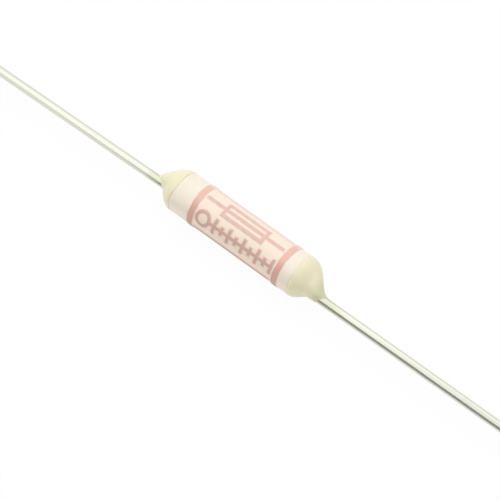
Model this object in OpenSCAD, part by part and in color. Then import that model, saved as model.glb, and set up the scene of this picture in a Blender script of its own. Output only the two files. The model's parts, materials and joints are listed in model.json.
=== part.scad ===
// Axial thermal fuse: a ceramic tube holds a fusible alloy rod in flux between two tinned leads,
// and a resin seal closes each end of the tube. +X runs along the tube, the origin is its centre.

/* [Case] */
// Outer diameter of the ceramic tube
case_dia = 2.5; // [2.2:0.05:5]
// Length of the ceramic tube
case_length = 8.45; // [7:0.05:16]
// Bore of the ceramic tube
bore_dia = 1.7; // [1.4:0.05:2.1]

/* [Leads] */
// Diameter of the tinned stretch of each lead
lead_dia = 0.54; // [0.4:0.01:0.6]
// Thickness of the tin on the exposed stretch
tin_coat = 0.015; // [0.01:0.005:0.03]
// Length of each lead from the end of the tube
lead_length = 38; // [10:1:60]
// How far the left lead leaves its seal off the tube's axis
left_lead_offset = 0.29; // [0.1:0.01:0.5]
// How far the right lead leaves its seal off the tube's axis
right_lead_offset = 0.46; // [0.1:0.01:0.5]
// Angle by which the left lead leans out from the tube's axis, in degrees
left_lead_tilt = 1.1; // [0:0.1:3]
// Angle by which the right lead leans out, below 0 where it leans back in, in degrees
right_lead_tilt = -0.3; // [-1:0.1:3]

/* [Fusible link] */
// Diameter of the fusible alloy rod
link_dia = 0.62; // [0.6:0.01:0.8]
// Length of the fusible alloy rod
link_length = 3; // [1.5:0.1:4]
// Length of lead that the flux covers past each end of the rod
flux_lap = 0.55; // [0.2:0.05:0.8]
// Gap between the flux at its fullest and the bore
flux_gap = 0.2; // [0.1:0.01:0.25]
// Thickness of the flux round the rod at the ends of the coat
flux_skin = 0.14; // [0.08:0.01:0.2]

/* [End seals] */
// How far the left seal stands out of the tube
left_seal_height = 1.7; // [1.2:0.05:2.5]
// How far the right seal stands out of the tube
right_seal_height = 2.15; // [1.2:0.05:2.5]
// Air gap between the flux and each seal's plug
seal_gap = 0.75; // [0.3:0.05:1.2]
// Thickness of the resin where it thins out on the lead
seal_lip = 0.025; // [0.02:0.005:0.1]
// Length of tinned lead that each seal grips
seal_grip = 0.35; // [0.2:0.05:0.6]
// How full the shoulder of the left seal is
left_seal_shoulder = 2.1; // [1.2:0.05:2.8]
// How full the shoulder of the right seal is
right_seal_shoulder = 2.3; // [1.2:0.05:2.8]
// How much the left seal narrows to its lead
left_seal_neck = 1.25; // [1.1:0.05:3]
// How much the right seal narrows to its lead
right_seal_neck = 2.4; // [1.1:0.05:3]
// Share of its height in which the front of the left seal closes on the lead
left_seal_reach = 0.6; // [0.4:0.05:1]
// Share of its height in which the front of the right seal closes on the lead
right_seal_reach = 0.5; // [0.4:0.05:1]

/* [Print] */
// Thickness of the ink
ink = 0.03; // [0.03:0.005:0.05]
// Width of each printed band
band_width = 0.4; // [0.2:0.02:0.8]
// Distance from the left end of the tube to the middle of the left band
left_band_inset = 1.5; // [0.6:0.05:2]
// Distance from the right end of the tube to the middle of the right band
right_band_inset = 0.9; // [0.6:0.05:2]
// Angle by which the left band runs off square, in degrees
left_band_slant = 2; // [0:0.5:4]
// Turn of the print round the tube, from the top towards the front, in degrees
print_turn = 25; // [0:1:90]
// Distance round the tube between the middles of the two printed rows
row_pitch = 1.2; // [1.1:0.02:1.6]
// Width of a printed line
stroke = 0.17; // [0.1:0.01:0.2]
// Distance round the tube from the middle of the print to the line above it and the line below it
rule_reach = 1.55; // [1.5:0.05:1.9]
// Bare length between a band and the end of the printed rows
row_margin = 0.12; // [0.1:0.02:0.6]
// Length of the box in the fuse symbol
symbol_box_length = 2.9; // [1.5:0.1:3.2]
// Height of the box in the fuse symbol
symbol_box_height = 0.92; // [0.5:0.02:1]
// Diameter of the bulb in the thermometer symbol
symbol_bulb_dia = 0.98; // [0.6:0.02:1]
// Number of marks on the thermometer symbol
symbol_marks = 9; // [3:1:9]

/* [Hidden] */
$fn = 96;
case_r = case_dia / 2;
bore_r = bore_dia / 2;
case_half = case_length / 2;
lead_r = lead_dia / 2;
core_r = lead_r - tin_coat;
link_r = link_dia / 2;
link_half = link_length / 2;
flux_half = link_half + flux_lap;
flux_r = bore_r - flux_gap;
plug_depth = case_half - flux_half - seal_gap;
left_band_middle = left_band_inset - case_half;
right_band_middle = case_half - right_band_inset;
row_middle = (left_band_middle + right_band_middle) / 2;
row_length = right_band_middle - left_band_middle - band_width - 2 * row_margin;
// overlap by which joined shapes run into each other, and by which cuts run past what they cut
merge = 0.1;
// facets round a seal and steps along it
seal_facets = 48;
seal_steps = 14;
// short and long marks of the thermometer symbol
short_mark = 0.5;
long_mark = 0.9;
ceramic = "#f4ece0";
resin = "#dfdabd";
tinned = "#cdcdc2";
alloy = "#a7a9ad";
flux = "#c79f58";
ink_red = "#cf9a86";

// A round bar along +X from the origin
module bar(r, length) {
    rotate([0, 90, 0]) cylinder(r = r, h = length);
}

// The part of space between two planes across the tube
module slab(from, to) {
    translate([from, -case_dia, -case_dia]) cube([to - from, 2 * case_dia, 2 * case_dia]);
}

// A lead at the right-hand end: a bare stretch runs from the rod through the seal, off the axis,
// into the tinned stretch, which starts inside the seal
module lead(offset, tilt, seal_height) {
    root = case_half + seal_height - seal_grip;
    run = root - link_half;
    lean = atan(offset / run);
    translate([root, -offset, 0]) rotate([0, 0, -tilt])
        bar(lead_r, (case_half + lead_length - root) / cos(tilt));
    intersection() {
        translate([link_half, 0, 0]) rotate([0, 0, -lean]) translate([-merge, 0, 0])
            bar(core_r, run / cos(lean) + 2 * merge);
        slab(link_half, root + merge);
    }
}

// The resin outside the tube at the right-hand end: round sections that shrink from the tube to the lead.
// Their backs close on the lead over the whole height, and their fronts, where the lead is, sooner
module seal_bell(offset, tilt, seal_height, shoulder, neck, reach) {
    mouth_r = lead_r + seal_lip;
    mouth_offset = offset + seal_grip * tan(tilt);
    function fall(from, to, w) = to + (from - to) * pow(1 - pow(min(w, 1), shoulder), neck);
    function back(w) = fall(case_r, mouth_r - mouth_offset, w);
    function front(w) = fall(case_r, mouth_r + mouth_offset, w / reach);
    function middle(w) = (back(w) - front(w)) / 2;
    function radius(w) = (back(w) + front(w)) / 2;
    function at(step, k) = step * seal_facets + k % seal_facets;
    points = [for (step = [0:seal_steps], k = [0:seal_facets - 1])
        let (w = step / seal_steps, turn = 360 * k / seal_facets)
        [case_half + seal_height * w, middle(w) + radius(w) * cos(turn), radius(w) * sin(turn)]];
    sides = [for (step = [0:seal_steps - 1], k = [0:seal_facets - 1])
        each [[at(step, k), at(step + 1, k), at(step, k + 1)],
            [at(step, k + 1), at(step + 1, k), at(step + 1, k + 1)]]];
    base = [for (k = [0:seal_facets - 1]) at(0, k)];
    mouth = [for (k = [seal_facets - 1:-1:0]) at(seal_steps, k)];
    polyhedron(points, concat(sides, [base, mouth]));
}

// A seal at the right-hand end: a plug that fills the end of the bore, and the bell outside
module end_seal(offset, tilt, seal_height, shoulder, neck, reach) {
    difference() {
        union() {
            translate([case_half - plug_depth, 0, 0]) bar(bore_r, plug_depth + merge);
            seal_bell(offset, tilt, seal_height, shoulder, neck, reach);
        }
        lead(offset, tilt, seal_height);
    }
}

// A thin skin of ink on the whole tube, which the printed shapes are cut from
module ink_skin() {
    difference() {
        translate([-case_half, 0, 0]) bar(case_r + ink, case_length);
        translate([-case_half - merge, 0, 0]) bar(case_r, case_length + 2 * merge);
    }
}

module printed_band(middle, slant) {
    intersection() {
        ink_skin();
        translate([middle, 0, 0]) rotate([print_turn, 0, 0]) rotate([0, 0, slant])
            slab(-band_width / 2, band_width / 2);
    }
}

// A line as long as the printed rows
module rule() {
    square([row_length, stroke], center = true);
}

// A box with a line right through it
module fuse_symbol() {
    difference() {
        square([symbol_box_length, symbol_box_height], center = true);
        square([symbol_box_length - 2 * stroke, symbol_box_height - 2 * stroke], center = true);
    }
    rule();
}

// A ring for the bulb, a line for the stem, and marks along it
module thermometer_symbol() {
    bulb_r = symbol_bulb_dia / 2;
    stem_from = -row_length / 2 + symbol_bulb_dia - stroke / 2;
    stem_to = row_length / 2;
    pitch = (stem_to - stem_from - symbol_bulb_dia / 2) / (symbol_marks - 1);
    translate([-row_length / 2 + bulb_r, 0]) difference() {
        circle(r = bulb_r);
        circle(r = bulb_r - stroke);
    }
    translate([stem_from, -stroke / 2]) square([stem_to - stem_from, stroke]);
    for (i = [0:symbol_marks - 1]) {
        tall = i % 2 == 0 ? long_mark : short_mark;
        translate([stem_to - stroke / 2 - i * pitch, 0]) square([stroke, tall], center = true);
    }
}

// A flat shape laid on the tube, turned round it from the top towards the front
module printed_row(turn) {
    intersection() {
        ink_skin();
        translate([row_middle, 0, 0]) rotate([turn, 0, 0]) linear_extrude(height = case_dia) children();
    }
}

module ceramic_case() {
    color(ceramic) difference() {
        translate([-case_half, 0, 0]) bar(case_r, case_length);
        translate([-case_half - merge, 0, 0]) bar(bore_r, case_length + 2 * merge);
    }
}

module left_lead() {
    color(tinned) mirror([1, 0, 0]) lead(left_lead_offset, left_lead_tilt, left_seal_height);
}

module right_lead() {
    color(tinned) lead(right_lead_offset, right_lead_tilt, right_seal_height);
}

module fusible_link() {
    color(alloy) translate([-link_half, 0, 0]) bar(link_r, link_length);
}

module flux_coat() {
    end_r = link_r + flux_skin;
    belly = flux_r - end_r;
    arc_r = (flux_half * flux_half + belly * belly) / (2 * belly);
    color(flux) difference() {
        rotate([0, 90, 0]) rotate_extrude() intersection() {
            translate([flux_r - arc_r, 0]) circle(r = arc_r, $fn = 4 * $fn);
            translate([0, -flux_half]) square([flux_r, 2 * flux_half]);
        }
        fusible_link();
        left_lead();
        right_lead();
    }
}

module left_end_seal() {
    color(resin) mirror([1, 0, 0])
        end_seal(left_lead_offset, left_lead_tilt, left_seal_height, left_seal_shoulder, left_seal_neck,
            left_seal_reach);
}

module right_end_seal() {
    color(resin) end_seal(right_lead_offset, right_lead_tilt, right_seal_height, right_seal_shoulder,
        right_seal_neck, right_seal_reach);
}

module left_band() {
    color(ink_red) printed_band(left_band_middle, left_band_slant);
}

module right_band() {
    color(ink_red) printed_band(right_band_middle, 0);
}

module printed_marks() {
    half_pitch = row_pitch / case_r * 90 / PI;
    rule_turn = rule_reach / case_r * 180 / PI;
    color(ink_red) {
        printed_row(print_turn - half_pitch) fuse_symbol();
        printed_row(print_turn + half_pitch) thermometer_symbol();
        printed_row(print_turn - rule_turn) rule();
        printed_row(print_turn + rule_turn) rule();
    }
}

ceramic_case();
left_lead();
right_lead();
fusible_link();
flux_coat();
left_end_seal();
right_end_seal();
left_band();
right_band();
printed_marks();
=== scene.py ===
"""An axial thermal fuse on a white table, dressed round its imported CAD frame.

A printed ceramic tube, closed at each end by a drop of epoxy, with a tinned copper lead out of each drop.
Lengths are in millimetres and angles in degrees unless a name says otherwise. +X runs along the tube to the
right lead, +Z is up, and angles round the tube start at +Y and turn towards +Z.
"""

import json
import logging
from dataclasses import dataclass
from enum import Enum

import bpy
import numpy as np
from bpy.types import ID, Material, Node, NodeSocket, NodeTree, Object, World
from mathutils import Matrix, Vector


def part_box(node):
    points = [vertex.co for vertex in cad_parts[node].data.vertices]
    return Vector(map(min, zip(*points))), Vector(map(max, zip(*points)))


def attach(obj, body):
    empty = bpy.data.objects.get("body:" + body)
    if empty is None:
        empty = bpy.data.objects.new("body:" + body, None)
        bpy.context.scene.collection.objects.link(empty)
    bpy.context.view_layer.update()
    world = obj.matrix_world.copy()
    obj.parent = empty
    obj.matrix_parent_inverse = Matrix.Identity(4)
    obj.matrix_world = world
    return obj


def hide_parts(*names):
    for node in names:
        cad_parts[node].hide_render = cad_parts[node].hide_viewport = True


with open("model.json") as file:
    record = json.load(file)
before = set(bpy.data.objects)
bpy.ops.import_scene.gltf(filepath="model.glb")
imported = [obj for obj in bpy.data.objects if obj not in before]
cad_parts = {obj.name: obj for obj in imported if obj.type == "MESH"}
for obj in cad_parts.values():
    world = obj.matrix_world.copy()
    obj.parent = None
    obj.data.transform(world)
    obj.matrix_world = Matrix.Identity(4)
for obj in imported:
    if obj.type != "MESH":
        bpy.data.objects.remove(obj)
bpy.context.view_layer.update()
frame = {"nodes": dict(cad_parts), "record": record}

LOG = logging.getLogger("thermal_fuse")
MM = 0.001
BODY = "root"
WHITE = "#ffffff"
COAT = "coat"
PRINT_TURN = 25.0
INK_SINK = 0.008


class Side(Enum):
    """The two ends of the fuse, each with the sign that X has there."""

    LEFT = -1
    RIGHT = 1

    @property
    def word(self) -> str:
        """The end's name as the frame's nodes spell it."""
        return self.name.lower()


class Motif(Enum):
    """What a printed row shows."""

    FUSE = "fuse"
    THERMOMETER = "thermometer"
    RULE = "rule"


def linear(code: str) -> tuple[float, float, float, float]:
    """Turn an sRGB hex colour into the linear colour that shaders read.

    Args:
        code: The colour as #rrggbb.

    Returns:
        Red, green, blue and an alpha of 1.
    """
    channel = np.array([int(code[at:at + 2], 16) for at in (1, 3, 5)]) / 255
    value = np.where(channel <= 0.04045, channel / 12.92, ((channel + 0.055) / 1.055) ** 2.4)
    return (*value.tolist(), 1.0)


def per_metre(size: float) -> float:
    """The scale at which a pattern on Object coordinates repeats about every so many millimetres."""
    return 1 / (size * MM)


def add_node(tree: NodeTree, kind: str, inputs: dict | None = None, **settings) -> Node:
    """Add a node with its settings, and fill or link its inputs.

    Args:
        tree: The tree that the node goes into.
        kind: The node's type.
        inputs: A constant or another node's output for each input, by its name or its number.
        settings: The node's own properties.

    Returns:
        The new node.
    """
    node = tree.nodes.new(kind)
    for name, value in settings.items():
        setattr(node, name, value)
    for key, value in (inputs or {}).items():
        if isinstance(value, NodeSocket):
            tree.links.new(value, node.inputs[key])
        else:
            node.inputs[key].default_value = value
    return node


def arithmetic(tree: NodeTree, operation: str, first: NodeSocket | float,
               second: NodeSocket | float) -> NodeSocket:
    """One sum of two values, done in a node tree."""
    return add_node(tree, "ShaderNodeMath", {0: first, 1: second}, operation=operation).outputs[0]


def noise(tree: NodeTree, where: NodeSocket, size: float, detail: float, warp: float = 0.0) -> NodeSocket:
    """A cloudy pattern from 0 to 1.

    Args:
        tree: The tree that it goes into.
        where: The coordinates that it lies on.
        size: About how far apart its clouds are.
        detail: How many finer layers it has.
        warp: How much it is swirled.

    Returns:
        The pattern.
    """
    return add_node(tree, "ShaderNodeTexNoise", {"Vector": where, "Scale": per_metre(size), "Detail": detail,
                                                 "Distortion": warp}).outputs[0]


def ramp(tree: NodeTree, value: NodeSocket, start: float, stop: float, top: float = 1.0) -> NodeSocket:
    """A smooth rise along one coordinate.

    Args:
        tree: The tree that it goes into.
        value: The coordinate.
        start: Where it starts from 0.
        stop: Where it reaches the top.
        top: What it rises to.

    Returns:
        The rise.
    """
    return add_node(tree, "ShaderNodeMapRange",
                    {"Value": value, "From Min": start * MM, "From Max": stop * MM, "To Max": top},
                    interpolation_type="SMOOTHSTEP").outputs[0]


def tinted(tree: NodeTree, share: NodeSocket, base: NodeSocket | tuple, colour: str) -> NodeSocket:
    """A base colour with a share of another mixed in."""
    mixed = add_node(tree, "ShaderNodeMix", {0: share, 6: base, 7: linear(colour)}, data_type="RGBA")
    return mixed.outputs[2]


def coat_of(tree: NodeTree) -> NodeSocket:
    """How full the piece's coat is, from the attribute of its mesh."""
    return add_node(tree, "ShaderNodeAttribute", attribute_name=COAT).outputs["Fac"]


def blank_tree(made: Material | World) -> NodeTree:
    """The node tree of a new material or world, emptied."""
    made.use_nodes = True
    made.node_tree.nodes.clear()
    return made.node_tree


def new_object(name: str, data: ID) -> Object:
    """A new object for some data, linked to the scene."""
    made = bpy.data.objects.new(name, data)
    bpy.context.scene.collection.objects.link(made)
    return made


def make_object(name: str, points: np.ndarray, faces: list) -> Object:
    """Put points and faces into a smooth-shaded mesh object at the origin.

    Args:
        name: The object's name.
        points: An array of n by 3 places.
        faces: Lists of point numbers, counter-clockwise seen from outside.

    Returns:
        The object, linked to the scene.
    """
    mesh = bpy.data.meshes.new(name)
    mesh.from_pydata((points * MM).tolist(), [], faces)
    mesh.polygons.foreach_set("use_smooth", np.ones(len(faces), bool))
    mesh.update()
    return new_object(name, mesh)


def mark_coat(piece: Object, coat: np.ndarray) -> None:
    """Keep how full a coat is at each point, from 0 to 1, as an attribute of the mesh.

    Args:
        piece: The coated piece.
        coat: The share at each of its points.
    """
    kept = piece.data.attributes.new(COAT, "FLOAT", "POINT")
    kept.data.foreach_set("value", coat.astype(np.float32).ravel())


def smooth_step(share: np.ndarray) -> np.ndarray:
    """The smooth step 3 q^2 - 2 q^3 of a share, which is first held between 0 and 1."""
    held = np.clip(share, 0, 1)
    return held * held * (3 - 2 * held)


def turns(count: int) -> np.ndarray:
    """Even angles once round, in radians, as one row."""
    return np.linspace(0, 2 * np.pi, count, endpoint=False)[None, :]


def column(*parts: np.ndarray) -> np.ndarray:
    """Stretches of stations joined end to end, as one column."""
    return np.concatenate([np.atleast_1d(part) for part in parts]).astype(float)[:, None]


def ripple(along: np.ndarray, around: np.ndarray, wave: float) -> np.ndarray:
    """Smooth unevenness from about -1 to 1: three sine waves of unlike lengths, whole round the axis.

    Args:
        along: Places along the axis.
        around: Angles round it, in radians.
        wave: The length of the main wave.

    Returns:
        The unevenness at each place.
    """
    phase = 2 * np.pi * along / wave
    first = np.sin(phase + 2 * around)
    second = np.sin(1.7 * phase - 3 * around + 1.3)
    third = np.sin(0.6 * phase + around + 4.1)
    return (first + second + third) / 3


def ring_grid(x: np.ndarray, middle_y: np.ndarray, radius: np.ndarray, around: np.ndarray,
              lean: np.ndarray | float = 0.0) -> np.ndarray:
    """Round sections carried along a path near the X axis.

    A point is the section's middle plus its radius times the cosine of its angle towards the side and the
    sine of it upwards. A section that leans is turned about Z, so that it stays square to a leaning path.

    Args:
        x: The middle of each section along X, one column.
        middle_y: The middle of each section along Y.
        radius: The radius at each station and angle.
        around: The angles, one row, in radians.
        lean: The angle between the path and +X towards -Y at each station, in radians.

    Returns:
        A grid of points, stations by angles by 3.
    """
    side = radius * np.cos(around)
    up = radius * np.sin(around)
    grid = np.broadcast_arrays(x + side * np.sin(lean), middle_y + side * np.cos(lean), up)
    return np.stack(grid, axis=-1)


def facing(grid: np.ndarray, side: Side) -> np.ndarray:
    """Move a grid made for the right-hand end to its own end, with its faces still outwards.

    Args:
        grid: Points for the right-hand end, stations by angles by 3.
        side: The end that the piece is at.

    Returns:
        The grid at that end: mirrored in X, with its rings run the other way, for the left.
    """
    if side is Side.RIGHT:
        return grid
    return grid[:, ::-1] * np.array([-1.0, 1.0, 1.0])


def skin(name: str, grid: np.ndarray, looped: bool) -> Object:
    """Cover a grid of rings with quads.

    Args:
        name: The object's name.
        grid: Rings of points, stations by angles by 3.
        looped: True where the last ring joins the first. Otherwise a fan closes each end.

    Returns:
        A closed mesh object.
    """
    stations, count = grid.shape[:2]
    index = np.arange(stations * count).reshape(stations, count)
    ahead = np.roll(index, -1, axis=0)
    near, far = (index, ahead) if looped else (index[:-1], ahead[:-1])
    quads = np.stack([near, np.roll(near, -1, axis=1), np.roll(far, -1, axis=1), far], axis=-1)
    faces = quads.reshape(-1, 4).tolist()
    points = grid.reshape(-1, 3)
    if not looped:
        caps = np.stack([grid[0].mean(axis=0), grid[-1].mean(axis=0)])
        first = np.stack([np.roll(index[0], -1), index[0], np.full(count, len(points))], axis=-1)
        last = np.stack([index[-1], np.roll(index[-1], -1), np.full(count, len(points) + 1)], axis=-1)
        faces += first.tolist() + last.tolist()
        points = np.concatenate([points, caps])
    return make_object(name, points, faces)


def shell_faces(keep: np.ndarray, start: int) -> np.ndarray:
    """The quads of a thin closed shell over some of a grid's cells.

    The top has one quad to a kept cell, the underside the same quads reversed, and a wall stands on each
    side of a kept cell that has no kept neighbour.

    Args:
        keep: Which cells belong to the shape, one fewer each way than the grid has points.
        start: The number of the grid's first top point. The undersides' numbers follow the tops'.

    Returns:
        An array of n by 4 point numbers.
    """
    rows, columns = keep.shape[0] + 1, keep.shape[1] + 1
    below = rows * columns
    index = start + np.arange(below).reshape(rows, columns)
    corners = np.stack([index[:-1, :-1], index[1:, :-1], index[1:, 1:], index[:-1, 1:]], axis=-1)
    padded = np.pad(keep, 1)
    beside = [padded[1:-1, :-2], padded[2:, 1:-1], padded[1:-1, 2:], padded[:-2, 1:-1]]
    quads = [corners[keep], corners[keep][:, ::-1] + below]
    for edge, neighbour in enumerate(beside):
        bare = keep & ~neighbour
        here, there = corners[bare][:, edge], corners[bare][:, (edge + 1) % 4]
        quads.append(np.stack([there, here, here + below, there + below], axis=-1))
    return np.concatenate(quads)


def place(piece: Object, material: Material, node: str) -> None:
    """Dress a piece and let it stand for its CAD node.

    Args:
        piece: The finished piece.
        material: Its finish.
        node: The CAD node that it replaces.
    """
    piece.data.materials.append(material)
    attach(piece, BODY)
    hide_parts(node)
    LOG.info("%s: %d faces, stands for %s", piece.name, len(piece.data.polygons), node)


@dataclass(frozen=True)
class Finish:
    """A finish: its material's name, its main and second colours, and how far its roughness varies."""

    name: str
    colour: str
    second: str
    smoothest: float
    roughest: float

    def material(self) -> Material:
        """Make the material, with a shader that the finish's own paint method fills.

        Returns:
            The new material.
        """
        made = bpy.data.materials.new(self.name)
        tree = blank_tree(made)
        place_on_piece = add_node(tree, "ShaderNodeTexCoord").outputs["Object"]
        shader = add_node(tree, "ShaderNodeBsdfPrincipled")
        add_node(tree, "ShaderNodeOutputMaterial", {"Surface": shader.outputs[0]})
        self.paint(tree, shader, place_on_piece)
        return made

    def paint(self, tree: NodeTree, shader: Node, where: NodeSocket) -> None:
        """Fill the shader; each finish has its own way."""
        raise NotImplementedError

    def vary(self, tree: NodeTree, shader: Node, tint: NodeSocket, gloss: NodeSocket) -> NodeSocket:
        """Vary the colour by one pattern and the roughness by another.

        Args:
            tree: The material's tree.
            shader: Its shader.
            tint: A pattern from 0, the main colour, to 1, the second colour.
            gloss: A pattern from 0, smoothest, to 1, roughest.

        Returns:
            The colour, for a finish that goes on to change it.
        """
        mixed = tinted(tree, tint, linear(self.colour), self.second)
        rough = add_node(tree, "ShaderNodeMapRange",
                         {"Value": gloss, "To Min": self.smoothest, "To Max": self.roughest})
        tree.links.new(mixed, shader.inputs["Base Color"])
        tree.links.new(rough.outputs[0], shader.inputs["Roughness"])
        return mixed

    def overlay(self, tree: NodeTree, shader: Node, base: NodeSocket, colour: str) -> None:
        """Lay another colour over the base, as fully as the piece's coat says.

        Args:
            tree: The material's tree.
            shader: Its shader.
            base: The colour where there is no coat.
            colour: The colour of a full coat.
        """
        tree.links.new(tinted(tree, coat_of(tree), base, colour), shader.inputs["Base Color"])

    def relief(self, tree: NodeTree, shader: Node, height: NodeSocket,
               depth: float, strength: float) -> None:
        """Give the surface a fine relief.

        Args:
            tree: The material's tree.
            shader: Its shader.
            height: The pattern that stands for height.
            depth: The relief's real depth.
            strength: How much of it shows, from 0 to 1.
        """
        bump = add_node(tree, "ShaderNodeBump",
                        {"Height": height, "Distance": depth * MM, "Strength": strength})
        tree.links.new(bump.outputs[0], shader.inputs["Normal"])


@dataclass(frozen=True)
class FiredCeramic(Finish):
    """Alumina, extruded, cut and fired: a smooth satin white with a fine grain and faint cloudy patches.

    The printing leaves a breath of its red on the field between the two bands.
    """

    haze: str = "#ffebd8"
    field: tuple[float, float] = (-2.65, 3.15)
    grain: float = 0.06
    cloud: float = 1.4
    haze_edge: float = 0.5
    grain_depth: float = 0.004
    grain_share: float = 0.5
    ior: float = 1.6

    def paint(self, tree: NodeTree, shader: Node, where: NodeSocket) -> None:
        """Cloudy colour with a haze between the bands, and a fine grain in the gloss and the relief."""
        grain = noise(tree, where, self.grain, detail=2.0)
        mixed = self.vary(tree, shader, noise(tree, where, self.cloud, detail=3.0), grain)
        along = add_node(tree, "ShaderNodeSeparateXYZ", {0: where}).outputs[0]
        left, right = self.field
        risen = ramp(tree, along, left - self.haze_edge, left + self.haze_edge)
        fallen = ramp(tree, along, right + self.haze_edge, right - self.haze_edge)
        hazed = tinted(tree, arithmetic(tree, "MULTIPLY", risen, fallen), mixed, self.haze)
        tree.links.new(hazed, shader.inputs["Base Color"])
        shader.inputs["IOR"].default_value = self.ior
        self.relief(tree, shader, grain, self.grain_depth, self.grain_share)


@dataclass(frozen=True)
class CastEpoxy(Finish):
    """Filled epoxy, run on as a drop and cured: smooth, half glossy, pale khaki, a little cloudy.

    Near the lead its colour is darkened, as painted shade.
    """

    # The colour of the painted shade near the lead.
    painted_neck_shade: str = "#d6d2b1"
    cloud: float = 0.7
    fleck: float = 0.05
    skin_depth: float = 0.006
    skin_share: float = 0.3
    ior: float = 1.55

    def paint(self, tree: NodeTree, shader: Node, where: NodeSocket) -> None:
        """Soft clouds in the colour, with painted shade by the coat, and a fine fleck in the gloss and the
        relief.
        """
        cloud = noise(tree, where, self.cloud, detail=2.0)
        fleck = noise(tree, where, self.fleck, detail=2.0)
        self.overlay(tree, shader, self.vary(tree, shader, cloud, fleck), self.painted_neck_shade)
        shader.inputs["IOR"].default_value = self.ior
        self.relief(tree, shader, fleck, self.skin_depth, self.skin_share)


@dataclass(frozen=True)
class TinnedCopper(Finish):
    """Copper wire, drawn and then dipped in tin: a warm silvery metal with faint streaks along the wire.

    Next to the seal its colour is dulled, partly by a thin film of resin and partly as painted shade and a
    painted reflection of the seal.
    """

    # The colour next to the seal: a resin film, with painted shade and a painted reflection of the seal.
    film: str = "#d3d3bc"
    streak_length: float = 6.0
    streak_width: float = 0.09
    line_depth: float = 0.002
    line_share: float = 0.3

    def paint(self, tree: NodeTree, shader: Node, where: NodeSocket) -> None:
        """Streaks along X in the colour, the gloss and a very shallow relief, and the film with painted shade
        by the coat.
        """
        stretch = (per_metre(self.streak_length), per_metre(self.streak_width), per_metre(self.streak_width))
        drawn = add_node(tree, "ShaderNodeMapping", {"Vector": where, "Scale": stretch}).outputs[0]
        streak = add_node(tree, "ShaderNodeTexNoise",
                          {"Vector": drawn, "Scale": 1.0, "Detail": 3.0}).outputs[0]
        self.overlay(tree, shader, self.vary(tree, shader, streak, streak), self.film)
        shader.inputs["Metallic"].default_value = 1.0
        self.relief(tree, shader, streak, self.line_depth, self.line_share)


@dataclass(frozen=True)
class FiredInk(Finish):
    """Red-brown ink, rolled on thin: matt, patchy where the film is thinner and the ceramic shows through.

    Its colour is darker and browner on the lower front, as painted shade, and paler at the back, as painted
    light. At the edge of a line it thins out.
    """

    # The first colour below is painted shade on the lower front. The pale one is both the colour of ink that
    # thins at a line's edge and painted light at the back.
    painted_front_shade: str
    faint: str = "#fbe8de"
    front_shade_from: float = -0.35
    front_shade_to: float = -0.95
    front_shade_share: float = 0.9
    back_light_from: float = 0.6
    back_light_to: float = 0.95
    back_light_share: float = 0.6
    patch: float = 0.3
    tooth: float = 0.05
    film_depth: float = 0.006
    film_share: float = 0.4

    def paint(self, tree: NodeTree, shader: Node, where: NodeSocket) -> None:
        """Patches in the colour, which follows the coat, and a fine tooth in the gloss and the relief."""
        tooth = noise(tree, where, self.tooth, detail=2.0)
        mixed = self.vary(tree, shader, noise(tree, where, self.patch, detail=4.0), tooth)
        # Painted shade darkens the front and painted light pales the back. The pale colour also stands for
        # ink that thins at a line's edge.
        behind = add_node(tree, "ShaderNodeSeparateXYZ", {0: where}).outputs[1]
        front = ramp(tree, behind, self.front_shade_from, self.front_shade_to, self.front_shade_share)
        back = ramp(tree, behind, self.back_light_from, self.back_light_to, self.back_light_share)
        thin = arithmetic(tree, "SUBTRACT", 1.0, coat_of(tree))
        front_shaded = tinted(tree, front, mixed, self.painted_front_shade)
        coated = tinted(tree, arithmetic(tree, "MAXIMUM", thin, back), front_shaded, self.faint)
        tree.links.new(coated, shader.inputs["Base Color"])
        self.relief(tree, shader, tooth, self.film_depth, self.film_share)


@dataclass(frozen=True)
class CastAlloy(Finish):
    """Low-melting solder alloy, cast as a rod: a dull grey metal with a crystalline skin."""

    crystal: float = 0.2

    def paint(self, tree: NodeTree, shader: Node, where: NodeSocket) -> None:
        """Crystal cells in the colour and the gloss."""
        cells = add_node(tree, "ShaderNodeTexVoronoi", {"Vector": where, "Scale": per_metre(self.crystal)})
        shade = add_node(tree, "ShaderNodeSeparateColor", {0: cells.outputs["Color"]}).outputs[0]
        self.vary(tree, shader, shade, cells.outputs["Distance"])
        shader.inputs["Metallic"].default_value = 1.0


@dataclass(frozen=True)
class RosinFlux(Finish):
    """Rosin, run on warm: a glossy amber that lets some light through."""

    swirl: float = 0.8
    warp: float = 0.8
    clearness: float = 0.4
    ior: float = 1.53

    def paint(self, tree: NodeTree, shader: Node, where: NodeSocket) -> None:
        """Slow swirls in the colour and the gloss."""
        swirl = noise(tree, where, self.swirl, detail=2.0, warp=self.warp)
        self.vary(tree, shader, swirl, swirl)
        shader.inputs["IOR"].default_value = self.ior
        shader.inputs["Transmission Weight"].default_value = self.clearness


ALUMINA = FiredCeramic("fired_alumina", "#fcf2e1", "#f8ecda", 0.1, 0.2)
EPOXY = CastEpoxy("cast_epoxy", "#f7f2d1", "#f0eac4", 0.12, 0.22)
TIN = TinnedCopper("tinned_copper", "#e2e3d5", "#d8d9cb", 0.18, 0.3)
# Each ink's last colour is painted shade on the lower front.
BAND_INK = FiredInk("band_ink", "#ecbaa8", "#f6cdbd", 0.45, 0.6, painted_front_shade="#ddaf9d")
ROW_INK = FiredInk("row_ink", "#e4b9a7", "#efcdbe", 0.45, 0.6, painted_front_shade="#d6b0a0")
SOLDER = CastAlloy("fusible_alloy", "#a7a9ad", "#8f9297", 0.4, 0.6)
ROSIN = RosinFlux("rosin_flux", "#c79f58", "#a97c36", 0.08, 0.18)


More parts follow.
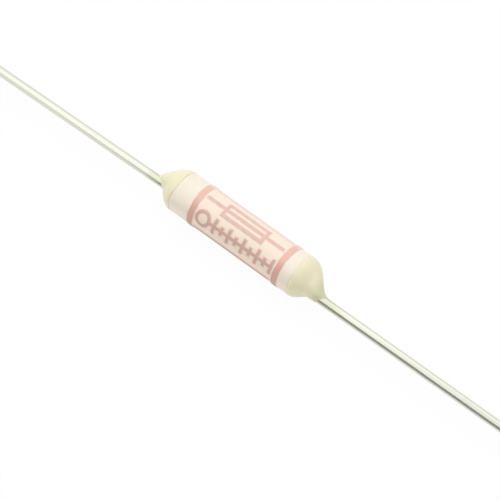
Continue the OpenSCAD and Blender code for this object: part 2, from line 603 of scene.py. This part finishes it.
@dataclass
class CeramicTube:
    """The ceramic tube: straight bore, square ends with broken edges, slightly uneven as fired."""

    half: float
    radius: float
    bore: float = 0.85
    edge: float = 0.07
    bore_edge: float = 0.05
    unevenness: float = 0.003
    wave: float = 5.0
    segments: int = 192
    steps: int = 60
    bore_steps: int = 15
    arc_points: int = 7

    @classmethod
    def from_frame(cls) -> "CeramicTube":
        """A tube as long and as thick as its CAD node."""
        reach = np.array(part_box("ceramic_case")[1]) / MM
        return cls(half=float(reach[0]), radius=float(reach[1:].max()))

    def profile(self) -> tuple[np.ndarray, np.ndarray]:
        """The wall's outline, as places along X and radii.

        From the middle of the outside it runs right, round the outer edge, down the end, round the bore's
        edge and back along the bore to the middle, and then the same in mirror image. Edges are quarter arcs.

        Returns:
            X and radius at each station, as columns.
        """
        arc = np.linspace(0, np.pi / 2, self.arc_points)
        outside = np.linspace(0, self.half - self.edge, self.steps, endpoint=False)
        inside = np.linspace(self.half - self.bore_edge, 0, self.bore_steps)[1:]
        x = column(outside, self.half - self.edge * (1 - np.sin(arc)),
                   self.half - self.bore_edge * (1 - np.cos(arc)), inside)
        r = column(np.full(len(outside), self.radius), self.radius - self.edge * (1 - np.cos(arc)),
                   self.bore + self.bore_edge * (1 - np.sin(arc)), np.full(len(inside), self.bore))
        return column(x[:, 0], -x[-2:0:-1, 0]), column(r[:, 0], r[-2:0:-1, 0])

    def build(self) -> None:
        """Carry the outline once round the axis and dress it."""
        around = turns(self.segments)
        x, r = self.profile()
        uneven = self.unevenness * (ripple(x, around, self.wave) - 1)
        piece = skin("ceramic_tube", ring_grid(x, 0.0, r + uneven, around), looped=True)
        place(piece, ALUMINA.material(), "ceramic_case")


@dataclass
class Lead:
    """A tinned lead: a bare core from the fusible rod into the seal, then the tinned stretch to the tip.

    Its tilt, out from the tube's axis, is in radians. The tin runs on under the resin past the root, where
    the lead turns into line. Its colour darkens near the root, partly as a film of resin on the tin and
    partly as painted shade. This is full up to one distance from the root and ends at another.
    """

    side: Side
    start: float
    root: float
    tip: float
    offset: float
    tilt: float
    radius: float
    film_and_shade_end: float
    film_and_shade_full: float = 0.5
    tin: float = 0.015
    tin_run: float = 0.9
    cut_edge: float = 0.06
    unevenness: float = 0.0015
    wave: float = 2.6
    segments: int = 64
    steps: int = 220
    buried_steps: int = 8
    arc_points: int = 6

    @classmethod
    def from_frame(cls, side: Side, film_and_shade_end: float) -> "Lead":
        """A lead whose tinned stretch is the one that the record's mount measures.

        Args:
            side: The end of the fuse that it is at.
            film_and_shade_end: How far from the root the film of resin and its painted shade end.

        Returns:
            The lead.
        """
        name = side.word + "_lead"
        mount = next(found for found in frame["record"]["mounts"] if found["name"] == name)
        outwards = np.array([side.value, -1, 1])
        tip = outwards * mount["pos_m"] / MM
        heading = outwards * mount["axis"]
        root = tip - heading * mount["dims"]["length_mm"]
        start = float(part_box("fusible_link")[1].x) / MM
        return cls(side, start, float(root[0]), float(tip[0]), float(root[1]),
                   float(np.arctan2(heading[1], heading[0])), mount["dims"]["r_mm"], film_and_shade_end)

    def middle(self, x: np.ndarray) -> np.ndarray:
        """Y of the lead's middle: straight from the axis to the root, then straight along the tilt.

        Args:
            x: Places along the tube's axis, counted outwards.

        Returns:
            Y at each place.
        """
        inside = -self.offset * (x - self.start) / (self.root - self.start)
        outside = -self.offset - (x - self.root) * np.tan(self.tilt)
        return np.where(x < self.root, inside, outside)

    def build(self) -> None:
        """Carry a round section along the lead, with a step where the tin starts and a broken tip."""
        around = turns(self.segments)
        arc = np.linspace(0, np.pi / 2, self.arc_points)[1:]
        tin_start = self.root - self.tin_run
        core = np.linspace(self.start, tin_start, self.buried_steps)
        buried = np.linspace(tin_start, self.root, self.buried_steps, endpoint=False)
        tinned = np.linspace(self.root, self.tip - self.cut_edge, self.steps)
        x = column(core, buried, tinned, self.tip - self.cut_edge * (1 - np.sin(arc)))
        r = column(np.full(len(core), self.radius - self.tin),
                   np.full(len(buried) + len(tinned), self.radius),
                   self.radius - self.cut_edge * (1 - np.cos(arc)))
        lean = np.where(x < self.root, 0.0, self.tilt)
        uneven = self.unevenness * ripple(x, around, self.wave)
        grid = ring_grid(x, self.middle(x), r + uneven, around, lean)
        name = self.side.word + "_lead"
        piece = skin(name + "_wire", facing(grid, self.side), looped=False)
        # The coat is partly a film of resin and partly painted shade, full near the root.
        film = smooth_step((self.root + self.film_and_shade_end - x) / (self.film_and_shade_end - self.film_and_shade_full))
        inner_cap, tip_cap = film[0, 0], film[-1, 0]
        mark_coat(piece, np.append(np.broadcast_to(film, grid.shape[:2]), [inner_cap, tip_cap]))
        place(piece, TIN.material(), name)


@dataclass
class EndSeal:
    """A drop of epoxy: a plug in the bore, and outside it a bell that narrows to the lead.

    The bell's front, on the lead's side, closes on the lead sooner than its back. The resin wets the tube's
    edge as a thin film, except at the lower front, where it pulls back and leaves a groove along the edge.
    On the lead it ends along a slanted line, sooner at the front than at the back. Towards that end its
    colour may be darkened, as painted shade.
    """

    lead: Lead
    tube: CeramicTube
    inner: float
    mouth: float
    shoulder: float
    neck: float
    reach: float
    front_end: float
    back_end: float
    darkening: float
    dark_from: float = 0.43
    dark_to: float = 0.82
    ending: float = 0.2
    tuck: float = 0.01
    lip: float = 0.025
    creep: float = 0.03
    creep_wander: float = 0.35
    film: float = 0.012
    film_tuck: float = 0.15
    film_run: float = 0.5
    bare_film: float = 0.1
    groove: float = 0.06
    groove_from: float = 126.0
    groove_to: float = 172.0
    groove_fade: float = 14.0
    segments: int = 192
    steps: int = 120
    film_steps: int = 8
    hole_steps: int = 30

    @classmethod
    def from_frame(cls, lead: Lead, tube: CeramicTube, shoulder: float, neck: float, reach: float,
                   front_end: float, back_end: float, darkening: float) -> "EndSeal":
        """A seal that reaches as far in and out as its CAD node.

        Args:
            lead: The lead that it holds.
            tube: The tube that it closes.
            shoulder: How full the bell's shoulder is.
            neck: How much the bell narrows to the lead.
            reach: The share of the bell's height in which its front closes on the lead.
            front_end: The share of the height at which the resin ends on the lead's front.
            back_end: The same on its back. Past 1, the resin there keeps its lip to the mouth.
            darkening: How much painted shade the resin takes on near the lead, from 0 to 1.

        Returns:
            The seal.
        """
        extent = sorted(abs(corner.x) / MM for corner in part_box(lead.side.word + "_end_seal"))
        return cls(lead, tube, extent[0], extent[1], shoulder, neck, reach, front_end, back_end, darkening)

    def bareness(self, around: np.ndarray) -> np.ndarray:
        """How far the resin pulls back at each angle: 1 at the lower front, fading to 0 on both sides.

        Args:
            around: Angles in radians.

        Returns:
            The share, from a smooth step up times a smooth step down.
        """
        angle = np.degrees(around)
        up = smooth_step((angle - self.groove_from) / self.groove_fade)
        down = smooth_step((self.groove_to - angle) / self.groove_fade)
        return up * down

    def fall(self, share: np.ndarray, end: float) -> np.ndarray:
        """One side of the bell: from the tube's radius to its end as (1 - share^shoulder)^neck.

        Args:
            share: How far along that side is, from 0 at the tube to 1 where it has closed on the lead.
            end: The distance from the tube's axis that it ends at.

        Returns:
            The side's distance from the axis.
        """
        falling = (1 - np.minimum(share, 1) ** self.shoulder) ** self.neck
        return end + (self.tube.radius - end) * falling

    def bell(self, share: np.ndarray) -> tuple[np.ndarray, np.ndarray]:
        """The bell's round sections, each the circle that spans its back and its front.

        Args:
            share: How far along the bell each section is, from 0 at the tube to 1 at the mouth.

        Returns:
            Y of each section's middle, and its radius.
        """
        mouth_radius = self.lead.radius + self.lip
        mouth_offset = -float(self.lead.middle(np.array(self.mouth)))
        back = self.fall(share, mouth_radius - mouth_offset)
        front = self.fall(share / self.reach, mouth_radius + mouth_offset)
        return (back - front) / 2, (back + front) / 2

    def drawn_in(self, drop: np.ndarray, share: np.ndarray) -> np.ndarray:
        """End the resin on the lead.

        About the lead's middle, each point's distance falls by a smooth step to just under the lead's skin.
        The step ends at one share of the height at the front and at another at the back, and between them
        by the half cosine of the angle.

        Args:
            drop: The bell's rings.
            share: How far along the bell each ring is, from 0 at the tube to 1 at the mouth.

        Returns:
            The rings with their points drawn in.
        """
        middle = self.lead.middle(drop[..., 0])
        side = drop[..., 1] - middle
        away = np.hypot(side, drop[..., 2])
        end = self.front_end + (self.back_end - self.front_end) * (1 + side / away) / 2
        step = smooth_step((share - end) / self.ending + 1)
        kept = 1 + ((self.lead.radius - self.tuck) / away - 1) * step
        return np.stack([drop[..., 0], middle + side * kept, drop[..., 2] * kept], axis=-1)

    def outside(self, around: np.ndarray) -> np.ndarray:
        """The resin that shows: the film on the tube's edge, and the bell, which ends on the lead.

        Args:
            around: Angles in radians, one row.

        Returns:
            Rings from the film's thin edge to the mouth.
        """
        bare = self.bareness(around)
        rim, radius = self.tube.half, self.tube.radius
        rise = np.linspace(0, 1, self.film_steps)[:-1, None]
        wetting = 1 - (1 - self.bare_film) * bare
        creep = self.creep * wetting * (1 + self.creep_wander * ripple(0.0, around, 1.0))
        thickness = self.film * (np.sin(rise * np.pi / 2) - self.film_tuck * (1 - rise))
        film = ring_grid(rim - creep * (1 - rise), 0.0,
                         radius + thickness * (1 - bare) - self.groove * bare, around)
        share = np.linspace(0, 1, self.steps)[:, None]
        out = (self.mouth - rim) * share
        middle, bell = self.bell(share)
        wetted = self.film * (1 - bare) * np.exp(-out / self.film_run)
        grooved = self.groove * bare * np.exp(-out / self.groove)
        drop = ring_grid(rim + out, middle, bell + wetted - grooved, around)
        return np.concatenate([film, self.drawn_in(drop, share)])

    def build(self) -> None:
        """Close the outside by way of the hole for the lead, the plug and the tube's end, and dress it."""
        around = turns(self.segments)
        lead, tube = self.lead, self.tube
        buried = lead.radius - lead.tin
        hole_x = column(np.linspace(self.mouth, self.inner, self.hole_steps))
        hole = ring_grid(hole_x, lead.middle(hole_x), np.full_like(hole_x, buried), around)
        plug_x = column(self.inner, tube.half, tube.half)
        plug_r = column(tube.bore, tube.bore, tube.radius - tube.edge - self.film)
        plug = ring_grid(plug_x, 0.0, plug_r, around)
        grid = np.concatenate([self.outside(around), hole, plug])
        name = lead.side.word + "_end_seal"
        piece = skin(lead.side.word + "_epoxy_drop", facing(grid, lead.side), looped=True)
        # The coat here is painted shade, rising towards the lead.
        share = (grid[..., 0] - tube.half) / (self.mouth - tube.half)
        near = smooth_step((share - self.dark_from) / (self.dark_to - self.dark_from))
        mark_coat(piece, self.darkening * near)
        place(piece, EPOXY.material(), name)


@dataclass
class PrintedBand:
    """A band of ink once round the tube, with a slightly ragged edge on each side.

    Each edge has its own phase and its own number of waves round the tube.
    """

    side: Side
    tube: CeramicTube
    middle: float
    width: float
    ink: float
    slant: float = 0.0
    print_turn: float = PRINT_TURN
    sink: float = INK_SINK
    raggedness: float = 0.02
    left_edge: tuple[float, int] = (0.3, 4)
    right_edge: tuple[float, int] = (0.7, 5)
    bleed: float = 0.03
    full_to: float = 0.7
    segments: int = 256
    steps: int = 25

    @classmethod
    def from_frame(cls, side: Side, tube: CeramicTube, slant: float) -> "PrintedBand":
        """A band where its CAD node is, as thick as that node.

        Args:
            side: The end that it is nearer to.
            tube: The tube that it is printed on.
            slant: How far the band runs off square, in degrees.

        Returns:
            The band.
        """
        low, high = (np.array(corner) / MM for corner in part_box(side.word + "_band"))
        outer = float(high[1:].max())
        width = float(high[0] - low[0]) - 2 * outer * np.tan(np.radians(slant))
        return cls(side, tube, float(low[0] + high[0]) / 2, width, outer - tube.radius, slant)

    def build(self) -> None:
        """Carry a flat-topped section round the tube and dress it.

        The top rises from just under the ceramic to the ink's height as 1 - q^6, where q runs from -1 to 1
        across the band and its bleed. The underside lies just under the ceramic. The slant moves the band
        back along X by its tangent times the distance behind the print's middle plane. The coat thins from
        full at a share of q to nothing at 1, by a smooth step.
        """
        around = turns(self.segments)
        q = np.linspace(-1, 1, self.steps)[:, None]
        behind = self.tube.radius * np.cos(around - np.radians(self.print_turn))
        centre = self.middle - np.tan(np.radians(self.slant)) * behind
        left, right = (self.raggedness * ripple(phase, waves * around, 1.0)
                       for phase, waves in (self.left_edge, self.right_edge))
        half = self.width / 2 + self.bleed
        x = centre + q * half + np.where(q < 0, left, right) * np.abs(q)
        top = self.tube.radius - self.sink + (self.ink + self.sink) * (1 - q ** 6)
        under = np.full((2, 1), self.tube.radius - 2 * self.sink)
        grid = ring_grid(np.concatenate([x, x[-1:], x[:1]]), 0.0, np.concatenate([top, under]), around)
        name = self.side.word + "_band"
        piece = skin(self.side.word + "_ink_band", grid, looped=True)
        coat = smooth_step((1 - np.abs(np.concatenate([q, q[-1:], q[:1]]))) / (1 - self.full_to))
        mark_coat(piece, np.broadcast_to(coat, grid.shape[:2]))
        place(piece, BAND_INK.material(), name)


@dataclass
class PrintedRows:
    """The print: a fuse symbol over a thermometer symbol, between two plain lines along the tube."""

    tube: CeramicTube
    middle: float
    length: float
    ink: float
    print_turn: float = PRINT_TURN
    row_pitch: float = 1.2
    rule_reach: float = 1.55
    stroke: float = 0.17
    box_length: float = 2.9
    box_height: float = 0.92
    bulb_dia: float = 0.98
    marks: int = 9
    short_mark: float = 0.5
    long_mark: float = 0.9
    edge: float = 0.12
    bleed: float = 0.025
    raggedness: float = 0.012
    ragged_wave: float = 1.1 / 3
    ragged_turns: int = 9
    sink: float = INK_SINK
    cell: float = 0.018
    margin: float = 0.12

    @classmethod
    def from_frame(cls, tube: CeramicTube, ink: float) -> "PrintedRows":
        """Rows where their CAD node is.

        Args:
            tube: The tube that they are printed on.
            ink: The thickness of the ink.

        Returns:
            The rows.
        """
        low, high = (corner.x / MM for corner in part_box("printed_marks"))
        return cls(tube, (low + high) / 2, high - low, ink)

    @staticmethod
    def from_bar(u: np.ndarray, v: np.ndarray, middle: float, length: float, height: float) -> np.ndarray:
        """Distance from a bar on the row's middle line: below 0 inside it.

        Args:
            u: Places along the row.
            v: Places across the row.
            middle: The bar's middle along the row.
            length: Its length along the row.
            height: Its height across the row.

        Returns:
            The distance at each place, measured to the nearest side.
        """
        return np.maximum(np.abs(u - middle) - length / 2, np.abs(v) - height / 2)

    def from_symbol(self, motif: Motif, u: np.ndarray, v: np.ndarray) -> np.ndarray:
        """Distance from a symbol's lines: below 0 in the ink.

        The fuse is a box's outline with a line right through. The thermometer is a ring, a stem and marks
        across the stem, every other one long. The rule is one line.

        Args:
            motif: Which symbol it is.
            u: Places along the row.
            v: Places across the row.

        Returns:
            The distance at each place.
        """
        stroke = self.stroke
        line = self.from_bar(u, v, 0.0, self.length, stroke)
        if motif is Motif.RULE:
            return line
        if motif is Motif.FUSE:
            outline = self.from_bar(u, v, 0.0, self.box_length - stroke, self.box_height - stroke)
            return np.minimum(np.abs(outline) - stroke / 2, line)
        end = self.length / 2
        bulb_middle = self.bulb_dia / 2 - end
        ring = np.abs(np.hypot(u - bulb_middle, v) - (self.bulb_dia - stroke) / 2) - stroke / 2
        stem_from = self.bulb_dia - stroke / 2 - end
        pitch = (end - stem_from - self.bulb_dia / 2) / (self.marks - 1)
        inked = np.minimum(ring, self.from_bar(u, v, (stem_from + end) / 2, end - stem_from, stroke))
        for number in range(self.marks):
            height = self.short_mark if number % 2 else self.long_mark
            mark = self.from_bar(u, v, end - stroke / 2 - number * pitch, stroke, height)
            inked = np.minimum(inked, mark)
        return inked

    def row(self, motif: Motif, turn: float) -> tuple[np.ndarray, np.ndarray, np.ndarray, np.ndarray]:
        """One row of ink: a sheet bent round the tube, raised where the symbol's lines are.

        The sheet stands over the tube by the ink's thickness inside a line and sinks just under the ceramic
        past its edge, with a smooth step between.

        Args:
            motif: The row's symbol.
            turn: The row's turn from the top of the tube towards the front, in degrees.

        Returns:
            The top's points, the underside's points, how full the coat is at each, and which cells belong
            to the ink.
        """
        reach_u = self.length / 2 + self.margin
        reach_v = self.stroke if motif is Motif.RULE else self.row_pitch / 2
        u = np.arange(-reach_u, reach_u, self.cell)[:, None]
        bend = np.arange(-reach_v, reach_v, self.cell)[None, :] / self.tube.radius
        ragged = self.raggedness * ripple(u, self.ragged_turns * bend + 2 * turn, self.ragged_wave)
        away = self.from_symbol(motif, u, self.tube.radius * np.sin(bend)) + ragged
        coat = smooth_step(0.5 - (away - self.bleed) / self.edge)
        height = (self.ink + self.sink) * coat - self.sink
        around = np.radians(90 + turn) - bend
        top = ring_grid(self.middle + u, 0.0, self.tube.radius + height, around)
        low = np.full_like(height, self.tube.radius - 2 * self.sink)
        under = ring_grid(self.middle + u, 0.0, low, around)
        inked = away < self.bleed + self.edge
        keep = inked[:-1, :-1] & inked[1:, :-1] & inked[1:, 1:] & inked[:-1, 1:]
        return top.reshape(-1, 3), under.reshape(-1, 3), coat.ravel(), keep

    def build(self) -> None:
        """Make all the rows one piece and dress it."""
        reaches = ((Motif.FUSE, -self.row_pitch / 2), (Motif.THERMOMETER, self.row_pitch / 2),
                   (Motif.RULE, -self.rule_reach), (Motif.RULE, self.rule_reach))
        points, coats, faces, start = [], [], [], 0
        for motif, reach in reaches:
            turn = self.print_turn + float(np.degrees(reach / self.tube.radius))
            top, under, coat, keep = self.row(motif, turn)
            points += [top, under]
            coats += [coat, coat]
            faces.append(shell_faces(keep, start))
            start += len(top) + len(under)
        used, quads = np.unique(np.concatenate(faces), return_inverse=True)
        piece = make_object("ink_rows", np.concatenate(points)[used], quads.reshape(-1, 4).tolist())
        mark_coat(piece, np.concatenate(coats)[used])
        place(piece, ROW_INK.material(), "printed_marks")


@dataclass
class FuseCore:
    """What the tube hides: the fusible rod and its coat of flux, whose CAD solids stay."""

    link_node: str = "fusible_link"
    flux_node: str = "flux_coat"

    def dress(self) -> None:
        """Give both solids their finishes."""
        for node, finish in ((self.link_node, SOLDER), (self.flux_node, ROSIN)):
            solid = frame["nodes"][node]
            solid.data.materials.clear()
            solid.data.materials.append(finish.material())
            LOG.info("%s: carried over with %s", node, finish.name)


@dataclass(frozen=True)
class SoftLamp:
    """A large even panel that faces the fuse, as bright at its face as the stated share of white."""

    name: str
    towards: tuple[float, float, float]
    distance: float
    size: tuple[float, float]
    radiance: float
    mirrored: bool

    def build(self) -> None:
        """Hang the panel. One that isn't mirrored lights surfaces without showing in shiny ones."""
        data = bpy.data.lights.new(self.name, "AREA")
        data.shape = "RECTANGLE"
        data.size, data.size_y = (side * MM for side in self.size)
        data.energy = self.radiance * np.pi * data.size * data.size_y
        made = new_object(self.name, data)
        heading = Vector(self.towards).normalized()
        made.location = heading * self.distance * MM
        made.rotation_euler = heading.to_track_quat("Z", "Y").to_euler()
        made.visible_glossy = self.mirrored


KEY_LAMP = SoftLamp("key_lamp", (-0.18, 0.18, 0.94), 240.0, (300.0, 300.0), 1.36, mirrored=False)
TOP_LAMP = SoftLamp("top_lamp", (-0.42, 0.03, 0.94), 240.0, (600.0, 110.0), 0.4, mirrored=True)


@dataclass
class Studio:
    """A white table in even light, two soft lamps above, a dark card in front, and the camera."""

    table_height: float
    azimuth: float = 40.07
    elevation: float = 58.43
    distance: float = 137.2
    image_px: float = 500.0
    focal_px: float = 2497.4
    tube_px: tuple[float, float] = (241.18, 233.14)
    sensor: float = 36.0
    table_size: float = 4000.0
    table_colour: str = "#fdfdfd"
    shadow_share: float = 0.045
    mirror_share: float = 0.5
    fill: float = 0.49
    card_near: float = 4.0
    card_far: float = 95.0
    card_top: float = 80.0
    card_left: tuple[float, float] = (-7.5, -41.0)
    card_right: float = 72.0
    card_lift: float = 0.05
    card_colour: str = "#9a9a9a"

    def camera(self) -> None:
        """Look from the azimuth and elevation, with the tube's middle on its pixel."""
        a, e = np.radians([self.azimuth, self.elevation])
        right = np.array([np.cos(a), np.sin(a), 0.0])
        back = np.array([np.sin(a) * np.cos(e), -np.cos(a) * np.cos(e), np.sin(e)])
        up = np.cross(back, right)
        per_px = self.distance / self.focal_px
        across = (self.tube_px[0] - self.image_px / 2) * per_px
        above = (self.image_px / 2 - self.tube_px[1]) * per_px
        spot = (back * self.distance - right * across - up * above) * MM
        data = bpy.data.cameras.new("camera")
        data.sensor_width = self.sensor
        data.lens = self.focal_px / self.image_px * self.sensor
        data.clip_start = self.distance * MM / 100
        made = new_object("camera", data)
        turned = Matrix(np.stack([right, up, back], axis=1).tolist()).to_4x4()
        made.matrix_world = Matrix.Translation(spot.tolist()) @ turned
        bpy.context.scene.camera = made

    def seen(self, tree: NodeTree, mirror_share: float) -> NodeSocket:
        """A switch that is 1 for rays from the camera or glass, and 0 for light on its way.

        Args:
            tree: The tree that it goes into.
            mirror_share: What it is for rays from a shiny surface.

        Returns:
            The switch.
        """
        path = add_node(tree, "ShaderNodeLightPath").outputs
        mirrored = arithmetic(tree, "MULTIPLY", path["Is Glossy Ray"], mirror_share)
        direct = arithmetic(tree, "MAXIMUM", path["Is Camera Ray"], path["Is Transmission Ray"])
        return arithmetic(tree, "MAXIMUM", direct, mirrored)

    def world(self) -> None:
        """Even light from all round, and plain white where it is seen."""
        made = bpy.data.worlds.new("studio")
        tree = blank_tree(made)
        light = add_node(tree, "ShaderNodeBackground", {"Color": linear(WHITE), "Strength": self.fill})
        backdrop = add_node(tree, "ShaderNodeBackground", {"Color": linear(WHITE), "Strength": 1.0})
        mixed = add_node(tree, "ShaderNodeMixShader",
                         {0: self.seen(tree, 1.0), 1: light.outputs[0], 2: backdrop.outputs[0]})
        add_node(tree, "ShaderNodeOutputWorld", {"Surface": mixed.outputs[0]})
        bpy.context.scene.world = made

    def table(self) -> None:
        """A white table under the fuse: mostly plain white where it is seen, with a little of its shading."""
        half = self.table_size / 2
        corners = np.array([[-half, -half, 0], [half, -half, 0], [half, half, 0], [-half, half, 0]])
        made = make_object("table", corners + [0, 0, self.table_height], [[0, 1, 2, 3]])
        paint = bpy.data.materials.new("white_laminate")
        tree = blank_tree(paint)
        shaded = add_node(tree, "ShaderNodeBsdfDiffuse", {"Color": linear(self.table_colour)})
        plain = add_node(tree, "ShaderNodeEmission", {"Color": linear(WHITE), "Strength": 1.0})
        share = arithmetic(tree, "MULTIPLY", self.seen(tree, self.mirror_share), 1 - self.shadow_share)
        mixed = add_node(tree, "ShaderNodeMixShader", {0: share, 1: shaded.outputs[0], 2: plain.outputs[0]})
        add_node(tree, "ShaderNodeOutputMaterial", {"Surface": mixed.outputs[0]})
        made.data.materials.append(paint)

    def card(self) -> None:
        """A grey card that lies in front and stands up behind, seen only as a darker streak on shiny metal.

        Its left edge slants away from the fuse, so that the streak ends at the left seal.
        """
        near, far, right, top = -self.card_near, -self.card_far, self.card_right, self.card_top
        floor = self.table_height + self.card_lift
        corners = np.array([[self.card_left[0], near, floor], [right, near, floor],
                            [right, far, floor], [self.card_left[1], far, floor],
                            [right, far, top], [self.card_left[1], far, top]])
        made = make_object("grey_card", corners, [[0, 1, 2, 3], [3, 2, 4, 5]])
        paint = bpy.data.materials.new("grey_board")
        tree = blank_tree(paint)
        plain = add_node(tree, "ShaderNodeEmission", {"Color": linear(self.card_colour), "Strength": 1.0})
        add_node(tree, "ShaderNodeOutputMaterial", {"Surface": plain.outputs[0]})
        made.data.materials.append(paint)
        made.visible_camera = False
        made.visible_diffuse = False
        made.visible_shadow = False
        made.visible_transmission = False

    def build(self) -> None:
        """Set the view transform, the camera, the light, the table and the card."""
        bpy.context.scene.view_settings.view_transform = "Standard"
        self.camera()
        self.world()
        KEY_LAMP.build()
        TOP_LAMP.build()
        self.table()
        self.card()


def main() -> None:
    """Build the studio and then the fuse, piece by piece."""
    logging.basicConfig(level=logging.INFO, format="%(name)s: %(message)s")
    tube = CeramicTube.from_frame()
    left_lead = Lead.from_frame(Side.LEFT, film_and_shade_end=1.1)
    right_lead = Lead.from_frame(Side.RIGHT, film_and_shade_end=2.0)
    left_band = PrintedBand.from_frame(Side.LEFT, tube, slant=2.0)
    right_band = PrintedBand.from_frame(Side.RIGHT, tube, slant=0.0)
    pieces = (
        tube,
        left_lead,
        right_lead,
        EndSeal.from_frame(left_lead, tube, shoulder=2.1, neck=1.25, reach=0.6, front_end=0.7, back_end=1.04,
                           darkening=0.0),
        EndSeal.from_frame(right_lead, tube, shoulder=2.3, neck=2.4, reach=0.5, front_end=0.86, back_end=1.1,
                           darkening=1.0),
        left_band,
        right_band,
        PrintedRows.from_frame(tube, right_band.ink),
    )
    Studio(table_height=-tube.radius - right_band.ink).build()
    for piece in pieces:
        piece.build()
    FuseCore().dress()


if __name__ == "__main__":
    main()
